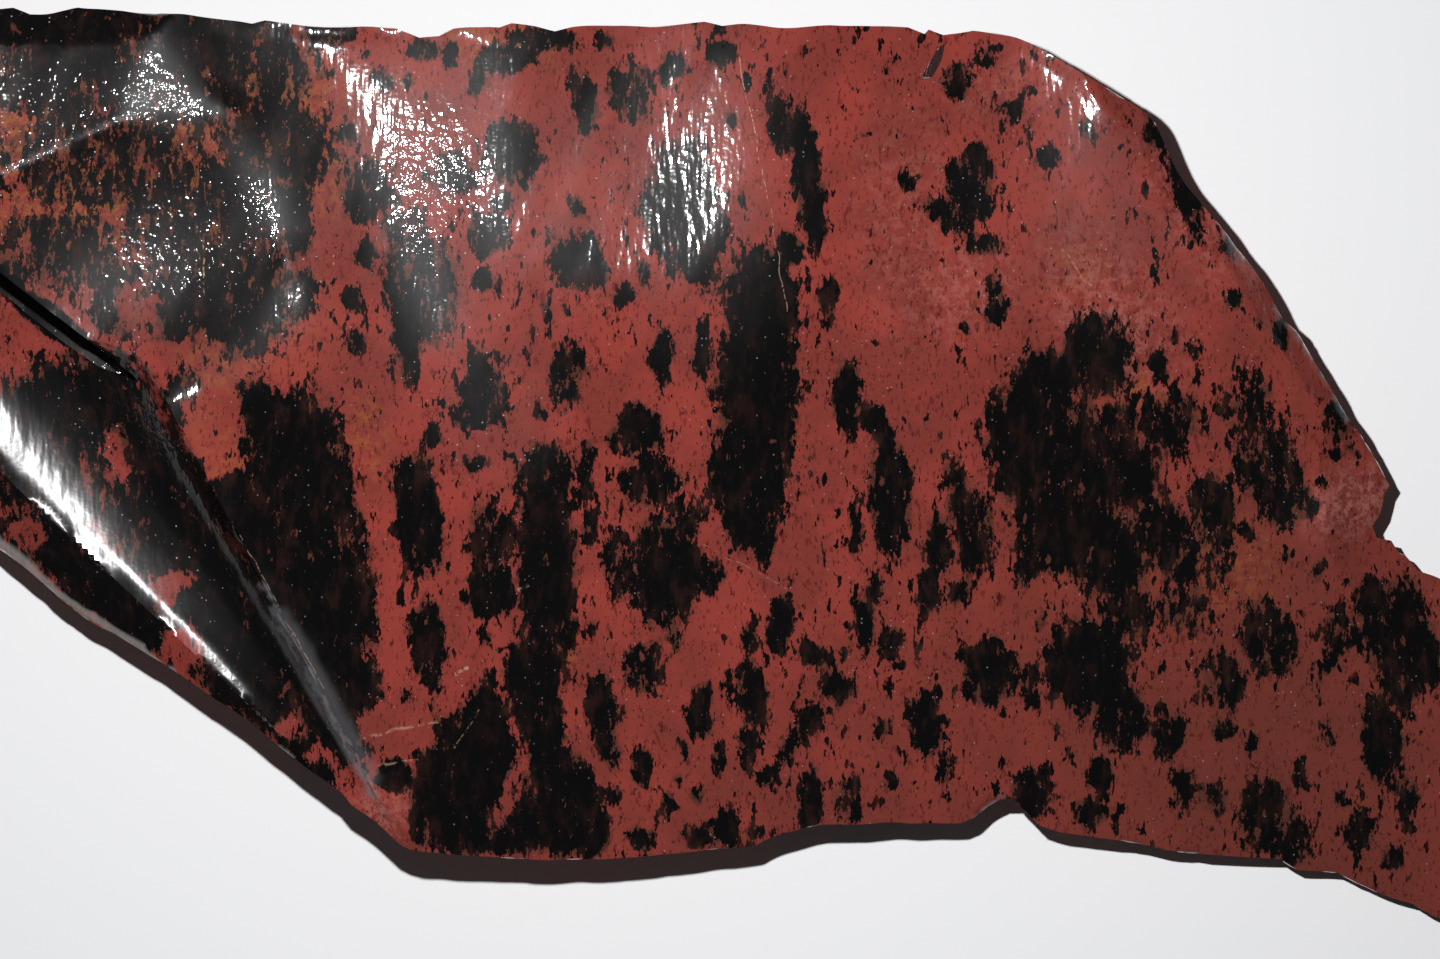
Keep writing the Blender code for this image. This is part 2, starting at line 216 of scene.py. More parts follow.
solid = bmesh.new()
solid.from_mesh(stone.data)
ridge = math.radians(shape["ridgeAngle"])
lowRim = math.radians(shape["lowRimAngle"])   # a low rim on the upper face isn't a ridge
ridgeEdges = np.array([
    [vert.index for vert in edge.verts] for edge in solid.edges
    if len(edge.link_faces) == 2 and edge.calc_face_angle() > ridge
    and (edge.calc_face_angle() > lowRim or min(face.normal.z for face in edge.link_faces) < 0.9)])
solid.free()
onRidge = np.zeros(len(stone.data.vertices), dtype=bool)
onRidge[ridgeEdges.ravel()] = True
points = readPoints(stone.data)
for _ in range(shape["ridgeSmoothing"]):   # each ridge point moves towards its neighbours on the ridge
    total, count = np.zeros_like(points), np.zeros(len(points))
    for one, other in (ridgeEdges.T, ridgeEdges.T[::-1]):
        np.add.at(total, one, points[other])
        np.add.at(count, one, 1)
    middle = count == 2
    points[middle] += 0.5 * (total[middle] / 2 - points[middle])
stone.data.vertices.foreach_set("co", points.ravel())
stone.data.update()
smoothGroup = stone.vertex_groups.new(name="faces")
smoothGroup.add(np.flatnonzero(~onRidge).tolist(), 1.0, "REPLACE")
applyModifier(stone, "SMOOTH", factor=0.5, iterations=shape["smoothing"], vertex_group="faces")
stone.vertex_groups.clear()

# the low rims between the broad scars of the upper face melt into each other
points, normals = readPoints(stone.data), readNormals(stone.data)
ridgeTree = KDTree(int(onRidge.sum()))
for index in np.flatnonzero(onRidge):
    ridgeTree.insert(points[index], index)
ridgeTree.balance()
broad = [index for index in np.flatnonzero(~onRidge & (normals[:, 2] > shape["meltAbove"]))
         if ridgeTree.find(points[index])[2] > shape["meltFromRidge"] * mm]
smoothGroup = stone.vertex_groups.new(name="broadFaces")
smoothGroup.add([int(index) for index in broad], 1.0, "REPLACE")
applyModifier(stone, "SMOOTH", factor=0.5, iterations=shape["melting"], vertex_group="broadFaces")
stone.vertex_groups.clear()
print("faces smoothed,", int(onRidge.sum()), "points on ridges")


# ripples, streaky hackles and nicks
def waves(kind, where, offset):
    size, width = shape[kind]
    return size * noiseAt(where, width, offset)


points = readPoints(stone.data) / mm
normals = readNormals(stone.data)
lean = math.radians(shape["hackleLean"])
along = points[:, 1] * math.cos(lean) - points[:, 0] * math.sin(lean)
across = points[:, 0] * math.cos(lean) + points[:, 1] * math.sin(lean)
streakPoints = np.stack([across, along * shape["stretch"], points[:, 2] * 0.5], axis=1)
height = waves("swell", streakPoints * [1, 3, 2], 3.1)
height += waves("streaks", streakPoints, 7.7)
height += (waves("ripples", streakPoints * [1, 2, 1], 9.4)
           * patchField(points[:, :2], shape["rippled"], shape["rippledSoftness"]) * (normals[:, 2] > 0.6))
height += waves("grain", points, 1.3)
nickDepth, nickGap = shape["ridgeNicks"]
nicks = np.clip(noiseAt(points, nickGap, 5.0) + 0.15, 0, 1) * nickDepth
height = np.where(onRidge, -nicks, height)
moved = points + normals * height[:, None]
lowest, highest = np.array(cadBox) / mm
moved = np.clip(moved, lowest + shape["boxMargin"], highest - shape["boxMargin"])
stone.data.vertices.foreach_set("co", (moved * mm).ravel())
stone.data.update()
selectOnly(stone)
bpy.ops.object.shade_smooth_by_angle(angle=math.radians(shape["creaseAngle"]))
print("relief made")

picture = {
    "middle": (0.064, 0.0),   # of the photographed view, mm
    "width": 100.8,           # across the photographed view at the stone, mm
}

# where the glass is black, rusty, dull, frosted, bruised or shaded.
# Each patch: middle x, y; half width, half length; lean to the left at its far end; how black it is
# (1 is solid, near 0.6 is mottled, below 0 is a vein of red). Millimetres from the picture's middle.
patches = {
    "bigCluster": [
        (26.2, 8.5, 2.6, 3.1, -8, 0.84), (22.6, 6.0, 2.6, 3.2, -12, 0.92), (20.9, 2.4, 2.3, 4.2, 5, 0.94),
        (25.0, 2.4, 2.6, 3.4, 0, 0.8), (27.6, 0.6, 3.4, 2.8, 0, 0.86), (24.2, -3.2, 3.4, 3.4, 20, 0.96),
        (27.6, -5.2, 3.2, 3.4, 30, 0.84), (31.3, -4.1, 2.4, 3.8, 25, 0.74), (34.6, -2.4, 2.0, 3.0, 10, 0.72),
        (31.6, 4.0, 2.3, 2.5, 0, 0.62), (28.2, 4.0, 1.5, 1.5, 0, 0.66), (28.6, -9.4, 1.9, 2.2, 10, 0.72),
        (32.6, -9.0, 2.2, 2.3, 0, 0.6), (35.0, -5.8, 1.2, 2.4, 0, 0.56),
    ],
    "rightStreaks": [
        (37.0, 5.2, 2.4, 3.0, 15, 0.58), (38.4, 1.0, 2.5, 3.8, 22, 0.64), (39.8, -1.6, 1.9, 2.3, 10, 0.66),
        (39.4, 10.4, 0.6, 1.2, 0, 0.95), (37.6, 10.9, 0.4, 0.6, 0, 0.8), (43.6, 4.0, 1.0, 2.8, 22, 0.6),
        (43.4, 1.9, 0.45, 0.5, 0, 0.85), (42.1, -0.4, 0.5, 0.5, 0, 0.85), (41.6, -2.1, 0.4, 0.6, 0, 0.85),
        (31.0, 8.1, 0.6, 1.2, 0, 0.85), (33.2, 9.2, 0.7, 1.1, 0, 0.56), (19.2, 12.0, 0.9, 1.2, 0, 0.8),
        (17.2, 10.4, 0.45, 0.6, 0, 0.9), (37.2, -3.5, 0.35, 0.9, 0, 0.85), (39.7, -5.5, 0.5, 0.8, 0, 0.8),
        (42.2, -6.4, 0.5, 1.0, -10, 0.75), (21.4, -6.6, 0.8, 1.1, 0, 0.72),
    ],
    "lowRight": [
        (26.0, -13.2, 3.0, 3.4, 0, 0.98), (28.2, -16.4, 1.9, 2.7, 0, 0.84), (18.9, -13.6, 2.2, 2.6, 0, 0.88),
        (21.9, -22.1, 1.5, 2.1, -10, 0.84), (26.0, -23.6, 1.3, 1.2, 0, 0.8), (21.9, -14.4, 0.8, 1.5, 0, 0.66),
        (26.9, -20.9, 1.1, 1.3, 0, 0.75), (46.6, -18.2, 1.5, 3.0, 5, 0.95), (22.6, -9.9, 0.5, 1.0, 0, 0.8),
        (38.5, -23.8, 2.2, 3.0, 0, 0.72), (47.6, -10.5, 2.9, 4.0, 10, 0.82), (48.0, -14.0, 1.8, 2.4, 0, 0.8),
        (46.1, -8.4, 1.8, 1.8, 0, 0.85), (49.4, -12.3, 1.5, 2.8, 0, 0.85), (38.6, -11.2, 2.2, 3.0, 12, 0.76),
        (35.4, -14.0, 1.8, 2.7, 0, 0.58), (43.6, -10.4, 1.3, 2.0, 0, 0.6), (42.6, -12.9, 0.6, 1.3, 0, 0.75),
        (35.4, -17.5, 0.7, 0.9, 0, 0.85), (37.5, -18.6, 0.6, 1.0, 0, 0.85), (32.2, -18.6, 0.7, 0.8, 0, 0.7),
        (48.4, -22.4, 0.8, 2.1, 0, 0.75), (43.8, -22.4, 0.6, 0.9, 0, 0.66), (47.6, -26.7, 1.0, 1.0, 0, 0.75),
        (43.0, -18.0, 0.6, 1.6, 5, 0.6), (31.6, -18.0, 1.4, 1.9, 0, 0.72), (32.6, -21.6, 1.1, 1.7, 0, 0.68),
        (34.8, -22.4, 1.1, 1.5, 0, 0.68), (40.6, -25.6, 1.4, 1.8, 0, 0.7), (45.0, -24.6, 1.2, 1.6, 0, 0.66),
        (41.0, -21.0, 0.8, 1.4, 0, 0.66),
    ],
    "topRight": [
        (17.2, 20.0, 1.9, 3.1, -10, 0.82), (17.9, 21.8, 1.2, 1.6, 0, 0.95), (14.9, 18.7, 1.6, 1.0, -30, 0.7),
        (18.4, 16.4, 1.5, 0.8, 0, 0.72), (19.1, 13.1, 0.7, 1.4, 0, 0.75), (20.3, 25.9, 0.9, 0.8, 0, 0.7),
        (16.6, 27.9, 1.1, 1.4, 0, 0.72), (25.6, 24.5, 0.8, 1.3, 0, 0.78), (22.8, 22.6, 1.0, 0.8, 0, 0.66),
        (18.8, 29.6, 0.9, 0.8, 0, 0.66), (32.2, 22.4, 1.0, 1.8, 0, 0.72), (33.4, 17.4, 0.9, 1.3, 0, 0.66),
        (30.4, 24.6, 0.9, 1.7, 20, 0.7), (33.0, 20.0, 1.1, 2.6, 20, 0.74), (35.6, 16.4, 0.7, 0.9, 0, 0.8),
        (13.2, 20.9, 0.6, 0.8, 0, 0.85), (36.0, 12.6, 0.6, 0.9, 0, 0.75),
    ],
    "tallStrip": [
        (2.9, 11.9, 2.6, 4.2, 5, 1), (2.6, 6.0, 2.9, 6.4, 3, 1), (2.1, 0.7, 2.7, 5.3, -3, 0.93),
        (2.9, -4.2, 0.8, 1.8, 0, 0.85), (4.8, 16.0, 1.0, 1.0, 0, 1),
    ],
    "upperMiddle": [
        (-2.7, 20.0, 2.5, 3.9, 5, 0.92), (-1.5, 16.6, 2.0, 2.9, -5, 0.84), (-4.3, 18.4, 1.3, 3.4, 5, 0.7),
        (6.2, 20.3, 1.1, 4.2, 8, 0.84), (5.6, 23.8, 1.0, 2.1, 5, 0.9), (6.7, 17.9, 0.8, 2.1, 0, 0.7),
        (4.2, 25.2, 1.0, 2.0, 0, 0.76), (-14.3, 22.9, 1.8, 2.2, 15, 0.96), (-14.9, 29.3, 2.4, 1.2, 8, 0.84),
        (-12.2, 30.6, 2.8, 0.9, 0, 0.76), (-18.7, 29.5, 0.6, 1.0, 0, 0.9), (-17.0, 27.7, 0.9, 1.1, 0, 0.74),
        (-20.7, 29.8, 1.0, 1.0, 0, 0.74), (-9.8, 15.1, 2.1, 2.2, 10, 0.76), (-8.4, 14.6, 0.8, 1.0, 0, 0.94),
        (-9.9, 19.0, 0.6, 0.8, 0, 0.9), (-6.2, 27.0, 2.0, 2.2, 0, 0.62), (-9.5, 26.2, 1.0, 2.4, 15, 0.8),
        (-3.4, 28.6, 1.0, 1.1, 0, 0.8), (0.0, 29.8, 1.3, 1.1, 0, 0.74), (-7.9, 30.6, 0.6, 0.9, 0, 0.7),
        (0.9, 25.2, 0.45, 0.6, 0, 0.9), (7.5, 12.6, 0.7, 1.6, 0, 0.85), (-5.6, 14.3, 0.5, 1.0, 10, 0.9),
        (-6.8, 12.8, 0.6, 0.8, 0, 0.95), (-12.3, 11.9, 0.5, 1.0, 0, 0.8), (-12.0, 17.0, 0.6, 0.6, 0, 0.6),
    ],
    "middle": [
        (8.8, 5.6, 0.9, 2.9, 3, 0.95), (10.7, 4.1, 0.9, 1.0, 0, 0.94), (11.9, -0.9, 1.4, 4.3, 2, 0.94),
        (9.5, -3.7, 0.6, 2.4, 5, 0.76), (16.5, -1.0, 1.1, 2.6, 5, 0.72), (17.9, -3.4, 1.4, 2.8, 10, 0.74),
        (15.4, -4.6, 0.9, 2.6, 5, 0.72), (14.6, -8.0, 1.0, 1.7, 0, 0.78), (16.8, -7.8, 0.9, 1.2, 0, 0.74),
        (17.6, -5.6, 1.0, 1.0, 0, 0.8), (-5.6, 3.6, 1.5, 1.9, -10, 0.96), (-4.1, 8.3, 0.8, 2.3, -5, 0.9),
        (-1.4, 9.1, 0.6, 2.2, 3, 0.82), (-7.5, 2.7, 0.5, 1.1, 0, 0.76), (-4.0, -6.2, 2.8, 3.8, 5, 0.9),
        (-4.9, -0.2, 2.2, 2.1, 0, 0.76), (-2.4, -2.6, 1.4, 1.6, 0, 0.66), (-7.2, -5.8, 1.2, 3.1, 5, 0.62),
        (-5.4, -13.2, 1.7, 2.1, 0, 0.68), (-3.2, -10.8, 0.8, 1.2, 0, 0.66), (-9.0, -3.5, 0.5, 1.5, 0, 0.84),
        (-0.6, -6.7, 0.9, 1.4, -25, 0.84), (-16.3, 6.6, 1.6, 2.4, 10, 0.84), (-16.9, 4.4, 2.0, 1.3, 0, 0.78),
        (-10.6, 7.4, 1.2, 2.8, -10, 0.74), (-17.2, 1.1, 1.2, 0.7, 0, 0.78), (-18.8, 0.9, 0.4, 1.0, 0, 0.85),
        (-14.9, 1.9, 0.4, 0.4, 0, 0.95), (-12.6, 4.4, 0.5, 0.8, 0, 0.8),
    ],
    "leftMiddle": [
        (-12.0, -6.0, 2.1, 7.2, 2, 0.98), (-12.3, 0.5, 2.0, 2.4, -10, 0.8), (-9.3, 0.7, 0.6, 2.3, 0, 0.84),
        (-16.1, -4.0, 1.8, 2.6, 5, 0.7), (-16.0, -7.9, 1.9, 2.1, 0, 0.92), (-13.2, -14.2, 2.1, 3.3, -8, 0.92),
        (-21.0, -2.4, 2.2, 4.2, 3, 0.92), (-20.4, -11.4, 1.3, 3.7, 3, 0.8), (-19.9, 2.9, 0.8, 1.0, 0, 0.95),
        (-22.2, -15.0, 0.6, 0.8, 0, 0.85), (-9.2, -10.6, 0.4, 0.7, 0, 0.9), (-16.6, -11.0, 0.6, 0.9, 0, 0.7),
    ],
    "nearCorner": [
        (-16.8, -19.4, 2.8, 6.2, -8, 1), (-18.6, -22.6, 3.6, 3.2, 0, 0.98),
        (-11.3, -23.6, 3.2, 3.2, 0, 0.96), (-12.0, -20.4, 1.6, 2.2, 0, 0.9),
        (-11.9, -17.2, 0.7, 1.9, 0, 0.9), (-13.5, -19.4, 0.6, 2.4, 0, 0.84),
        (-22.6, -20.6, 1.3, 1.2, 0, 0.88), (-9.2, -24.6, 1.6, 1.9, 0, 0.9),
        (-19.4, -18.6, 1.8, 4.2, -10, 0.92), (-12.6, -19.4, 2.2, 4.6, 5, 0.86),
        (-16.0, -24.6, 5.0, 1.8, 0, 0.96), (-10.4, -21.8, 1.8, 3.0, 0, 0.86),
    ],
    "nearMargin": [
        (2.4, -15.2, 1.1, 2.3, 3, 0.98), (2.0, -18.7, 0.7, 1.5, 0, 0.95), (4.2, -10.4, 0.8, 2.4, -8, 0.94),
        (2.1, -11.3, 0.6, 1.4, -8, 0.92), (6.8, -12.3, 1.4, 1.0, -30, 0.92),
        (8.4, -14.7, 1.4, 1.0, -40, 0.88), (6.2, -16.9, 0.9, 1.6, -35, 0.88),
        (4.8, -19.0, 0.7, 1.5, -30, 0.88), (3.5, -20.9, 0.7, 1.1, -20, 0.84),
        (-1.4, -16.3, 1.2, 2.1, 0, 0.78), (0.7, -14.6, 0.7, 1.3, 0, 0.6), (0.0, -19.6, 0.7, 1.2, 0, 0.86),
        (-2.5, -18.8, 0.5, 0.9, 0, 0.85), (-8.2, -16.9, 1.2, 3.7, 5, 0.88),
        (-5.5, -19.9, 0.9, 1.2, 0, 0.96), (-7.6, -22.2, 0.6, 0.9, 0, 0.92),
        (-5.4, -25.3, 0.8, 1.1, 0, 0.92), (-3.7, -22.9, 0.7, 1.1, 0, 0.8), (-1.5, -25.1, 1.1, 0.8, 0, 0.9),
        (0.4, -24.4, 1.0, 1.4, -15, 0.96), (-1.5, -22.3, 0.5, 0.7, 0, 0.84),
        (-3.0, -21.1, 0.5, 0.7, 0, 0.86), (2.7, -24.9, 0.6, 0.5, 0, 0.74), (6.3, -22.5, 0.8, 2.0, -5, 0.94),
        (9.1, -22.4, 1.2, 1.7, 0, 0.6), (10.1, -10.1, 0.7, 1.8, 5, 0.96), (11.9, -11.2, 0.9, 1.2, 0, 0.8),
        (10.7, -7.7, 0.6, 1.4, 0, 0.76), (12.5, -13.1, 0.4, 0.5, 0, 0.85), (11.3, -17.5, 0.5, 0.7, 0, 0.8),
        (14.4, -17.2, 1.3, 2.6, 5, 0.82), (16.0, -20.2, 0.8, 1.3, 0, 0.7), (12.0, -21.0, 0.4, 0.5, 0, 0.8),
    ],
    "darkShoulder": [
        (-29.0, 0.0, 4.0, 6.2, 0, 0.9), (-27.4, -8.4, 3.3, 6.2, 8, 0.92),
        (-25.9, -14.6, 2.3, 4.0, 10, 0.92), (-32.2, 3.6, 2.2, 3.6, 0, 0.8),
        (-31.4, -4.2, 2.4, 4.6, 18, 0.84), (-32.9, 11.5, 1.0, 1.8, 0, 0.9),
        (-37.4, 12.5, 1.3, 3.4, -22, 0.92), (-25.6, 12.6, 0.6, 0.9, 0, 0.9),
        (-25.4, 9.4, 0.9, 0.8, 0, 0.76), (-33.2, -2.6, 1.9, 5.0, 25, 0.95),
        (-29.8, -9.2, 1.9, 5.5, 25, 0.96), (-26.8, -15.4, 1.5, 4.2, 25, 0.92),
        (-25.6, -4.0, 1.4, 5.0, 5, 0.72),
    ],
    "dish": [
        (-24.6, 20.2, 2.2, 2.7, 10, 0.7), (-20.8, 13.6, 2.8, 4.4, 5, 0.72), (-18.8, 21.3, 1.8, 1.6, 0, 0.74),
        (-16.2, 21.9, 1.0, 0.7, 0, 0.66), (-15.4, 19.3, 0.9, 0.8, 0, 0.84), (-16.2, 17.2, 1.4, 1.7, 0, 0.76),
        (-16.2, 13.9, 1.0, 0.8, 0, 0.84), (-21.7, 9.4, 1.1, 2.6, 0, 0.86), (-25.4, 12.5, 0.6, 1.1, 0, 0.92),
        (-24.5, 15.7, 0.7, 1.1, 0, 0.92), (-29.1, 12.9, 1.8, 2.0, 0, 0.78), (-25.9, 23.9, 1.0, 1.0, 0, 0.82),
        (-27.6, 28.4, 0.5, 0.9, 0, 0.76), (-23.4, 27.8, 0.9, 0.8, 0, 0.88), (-21.7, 27.7, 0.5, 0.5, 0, 0.88),
        (-22.4, 17.4, 1.6, 1.8, 0, 0.62),
    ],
    "farLeft": [
        (-46.2, 28.8, 7.7, 3.8, 0, 0.74), (-37.9, 28.0, 7.7, 4.2, 0, 0.74), (-30.6, 28.0, 2.6, 3.6, 0, 0.72),
        (-31.2, 22.0, 4.2, 6.7, 0, 0.74), (-42.7, 22.4, 8.4, 4.2, 0, 0.62), (-36.0, 18.0, 6.0, 5.0, 0, 0.72),
        (-46.2, 15.8, 5.6, 3.4, 0, 0.6), (-33.4, 12.6, 4.2, 4.4, 0, 0.78), (-40.6, 12.4, 3.6, 3.0, 0, 0.7),
        (-28.6, 18.6, 1.8, 4.6, 0, 0.66), (-46.0, 31.6, 9.0, 1.8, 0, 0.84), (-35.0, 31.4, 6.0, 1.6, 0, 0.8),
        (-27.0, 31.0, 2.4, 1.2, 0, 0.66),
    ],
    "flute": [
        (-47.0, 4.4, 4.4, 4.0, 30, 0.74), (-41.0, 1.6, 3.6, 5.6, 32, 0.82),
        (-39.4, -3.6, 3.4, 4.6, 35, 0.84), (-34.4, -12.2, 2.8, 7.6, 36, 0.92),
        (-44.4, -6.6, 2.0, 7.4, 55, 0.92), (-48.6, 0.6, 2.4, 3.0, 30, 0.78),
        (-36.9, 4.6, 1.5, 3.0, 20, 0.86), (-29.0, -19.4, 1.5, 3.0, 45, 0.86),
        (-46.0, -1.6, 3.0, 3.0, 0, 0.72), (-44.5, 5.0, 5.0, 4.0, 30, 0.86),
        (-38.5, -1.0, 2.8, 8.0, 35, 0.88), (-33.6, -9.4, 2.2, 8.0, 34, 0.92),
        (-41.6, -9.4, 1.6, 8.0, 55, 0.92), (-36.5, 0.4, 1.2, 4.4, 28, 0.95),
        (-32.6, -8.0, 1.2, 6.0, 29, 0.96), (-28.6, -15.6, 1.1, 5.0, 30, 0.95),
    ],
    "redVeins": [
        (-25.3, 4.0, 0.6, 3.4, 8, -0.8), (-23.9, -1.0, 0.6, 2.6, 12, -0.8),
        (-22.9, -7.0, 0.5, 6.6, 3, -0.85), (-22.6, -17.4, 3.0, 1.3, -10, -0.9),
        (-18.5, -6.6, 0.5, 7.4, 3, -0.7), (-18.4, -14.4, 0.7, 3.4, -22, -0.6),
        (-14.4, -17.6, 0.35, 4.4, 18, -0.5), (-14.9, -22.4, 0.5, 3.0, -25, -0.7),
        (-9.6, -18.2, 0.5, 3.6, 28, -0.5), (-14.0, 3.2, 4.9, 0.6, 12, -0.6), (-35.2, 2.9, 1.7, 2.6, 20, -1),
        (-34.0, 4.4, 0.9, 2.0, 25, -0.6), (-48.5, -3.8, 1.1, 0.9, 0, -0.9),
        (-38.3, -7.5, 1.2, 0.8, 30, -0.9), (-37.7, -11.9, 1.2, 1.4, 0, -1),
        (-42.2, 1.4, 1.1, 2.4, 20, -0.5), (-30.3, -17.2, 0.5, 0.6, 0, -0.8),
        (-28.2, -19.5, 0.8, 0.7, 0, -0.9), (-23.5, -23.8, 1.5, 1.5, 0, -1),
        (-27.4, 16.2, 0.8, 4.2, 5, -0.75), (-40.4, 12.0, 1.4, 1.8, 0, -0.4),
        (-47.6, 11.4, 0.8, 1.6, 0, -0.4),
    ],
}
# painted shadow: the crack under the step is painted solid black, standing in for the shade inside it: x, y,
# half width, half length, lean
crackPatches = [
    (-42.6, 8.2, 0.6, 3.0, 55, 1), (-46.6, 11.1, 0.95, 3.4, 55, 1), (-51.8, 15.3, 1.0, 4.0, 52, 1),
]
rustPatches = [
    (-47.5, 24.0, 5.0, 3.4, 0, 1.0), (-45.0, 19.5, 4.5, 3.4, 0, 1.0), (-41.0, 18.5, 4.5, 3.0, 20, 0.9),
    (-34.0, 22.5, 6.0, 6.0, 0, 0.8), (-30.5, 26.5, 5.0, 3.0, 0, 0.7), (-43.0, 29.5, 5.0, 2.0, 0, 0.7),
    (-15.5, 30.3, 3.6, 1.4, 0, 0.9), (-55.0, 20.0, 6.0, 6.0, 0, 0.8), (-34.5, 8.0, 2.6, 2.0, 0, 0.5),
    (-30.0, 12.0, 3.0, 4.0, 0, 0.35), (36.0, -6.0, 3.0, 3.0, 0, 0.4), (25.0, 14.5, 2.4, 1.5, 40, 0.5),
    (-24.5, 3.0, 1.2, 3.0, 10, 0.6), (-27.6, 21.6, 1.6, 3.0, 0, 0.6), (29.6, 6.0, 1.4, 1.2, 0, 0.6),
    (-34.4, 1.6, 1.6, 3.0, 20, 0.5), (-11.0, -12.4, 1.0, 0.8, 0, 0.5),
]
# dull sheen, and fine grain that glints
hazePatches = [
    (-45.0, 0.0, 4.5, 9.0, 35, 0.48), (-28.0, -14.8, 1.1, 9.0, 30, 0.48), (-24.0, -23.0, 1.6, 2.2, 30, 0.4),
    (-39.0, -6.0, 2.6, 9.0, 35, 0.45), (44.3, -1.4, 3.4, 2.2, 20, 0.4),
]
frostPatches = [
    (-46.0, 24.0, 15.0, 9.0, 0, 1.0), (-37.0, 17.0, 9.0, 7.0, 0, 1.0), (-20.0, 20.0, 8.0, 12.0, 0, 0.76),
    (-12.0, 20.0, 5.0, 8.0, 0, 0.6), (-2.0, 22.0, 6.0, 10.0, 0, 0.5), (27.4, 20.0, 9.0, 9.0, 40, 0.4),
    (-16.0, 6.0, 4.0, 5.0, 0, 0.5), (-42.5, 3.6, 4.4, 7.0, 35, 1.0), (-36.5, -6.0, 2.0, 7.0, 34, 0.9),
]
bruisePatches = [
    (44.3, -1.4, 3.2, 2.0, 20, 1.0), (16.4, 13.4, 4.0, 3.0, 0, 0.6), (13.0, 18.0, 3.0, 7.0, 0, 0.4),
    (27.4, 11.8, 3.4, 5.4, 40, 0.7), (33.0, 19.0, 2.0, 5.0, 25, 0.6), (20.0, 27.6, 4.0, 2.0, 10, 0.4),
    (-23.6, -23.4, 1.6, 2.0, 20, 1.0), (-45.0, 13.0, 3.0, 2.4, 30, 0.5),
]
# painted shade: where the red is turned to a darker, shaded red, towards the near right
shadePatches = [
    (40.0, -20.0, 22.0, 22.0, 0, 1.0), (24.0, -26.0, 30.0, 10.0, 0, 0.6), (8.0, -28.0, 30.0, 6.0, 0, 0.5),
]
# the patches of the underside and the two ends
unseen = {
    "seed": 11,
    "underCount": 130,
    "endCount": 46,
    "leftEnd": (-67, -52, -5, 32),   # from x to x and from y to y, mm
    "rightEnd": (52, 67, -32, -8),
    "under": (-66, 66, -32, 32),
    "sizes": (0.7, 3.4),      # half widths, mm
    "longer": (1.1, 2.2),     # how much longer than wide
    "leans": (-12, 20),       # degrees
    "facesDown": (0.05, 0.35),   # how far down a face looks where they start and are full
    "roundEdge": 2.0,         # how far the underside's ones are drawn out round the edges, mm
}
# how soft each kind of patch is at its edge, as a share of its size
softEdges = {
    "black": 0.42, "crack": 0.25, "rust": 0.7, "haze": 0.8, "frost": 0.8, "bruise": 0.8, "shade": 0.9,
}
# the outlines wander: how far and over what distance, mm, and where the two noises start
wanders = [(0.5, 1.7, 20.0, 31.0), (0.22, 0.7, 42.0, 53.0)]


def seededRows(count, area, strengths):
    lowX, highX, lowY, highY = area
    rows = []
    for _ in range(count):
        halfWidth = chance.triangular(*unseen["sizes"], unseen["sizes"][0])
        rows.append((chance.uniform(lowX, highX), chance.uniform(lowY, highY), halfWidth,
                     halfWidth * chance.uniform(*unseen["longer"]), chance.uniform(*unseen["leans"]),
                     chance.choice(strengths)))
    return rows


chance = random.Random(unseen["seed"])
surface = readPoints(stone.data) / mm
facing = readNormals(stone.data)
drawn = surface[:, :2] - picture["middle"]
for far, width, startX, startY in wanders:
    drawn += far * np.stack([noiseAt(surface, width, startX), noiseAt(surface, width, startY)], axis=1)
seenRows = [row for rows in patches.values() for row in rows]
endRows = seededRows(unseen["endCount"] // 2, unseen["leftEnd"], (0.62, 0.7, 0.9))
endRows += seededRows(unseen["endCount"] // 2, unseen["rightEnd"], (0.62, 0.85, 1.0))
underRows = seededRows(unseen["underCount"], unseen["under"], (0.62, 0.8, 1.0))
seenField = patchField(drawn, seenRows + endRows, softEdges["black"])
underField = patchField(drawn + facing[:, :2] * unseen["roundEdge"], underRows, softEdges["black"])
isUnder = softStep(-facing[:, 2], *unseen["facesDown"])
# painted shadow: the crack's black is drawn into the black layer
crack = patchField(surface[:, :2], crackPatches, softEdges["crack"]) * (facing[:, 2] > -0.2)
layers = {
    # the black layer holds the real black patches and the crack's painted shadow
    "blacknessAndCrackShadow": np.maximum(seenField * (1 - isUnder) + underField * isUnder, 1.6 * crack),
    "rust": patchField(drawn, rustPatches, softEdges["rust"]) * (1 - 0.6 * isUnder),
    "haze": patchField(drawn, hazePatches, softEdges["haze"]),
    "frost": patchField(drawn, frostPatches, softEdges["frost"]),
    "bruise": patchField(drawn, bruisePatches, softEdges["bruise"]) * (1 - isUnder),
    "shade": patchField(drawn, shadePatches, softEdges["shade"]),
}
for name, values in layers.items():
    layer = stone.data.attributes.new(name, "FLOAT", "POINT")
    layer.data.foreach_set("value", values)
print("patches laid out")

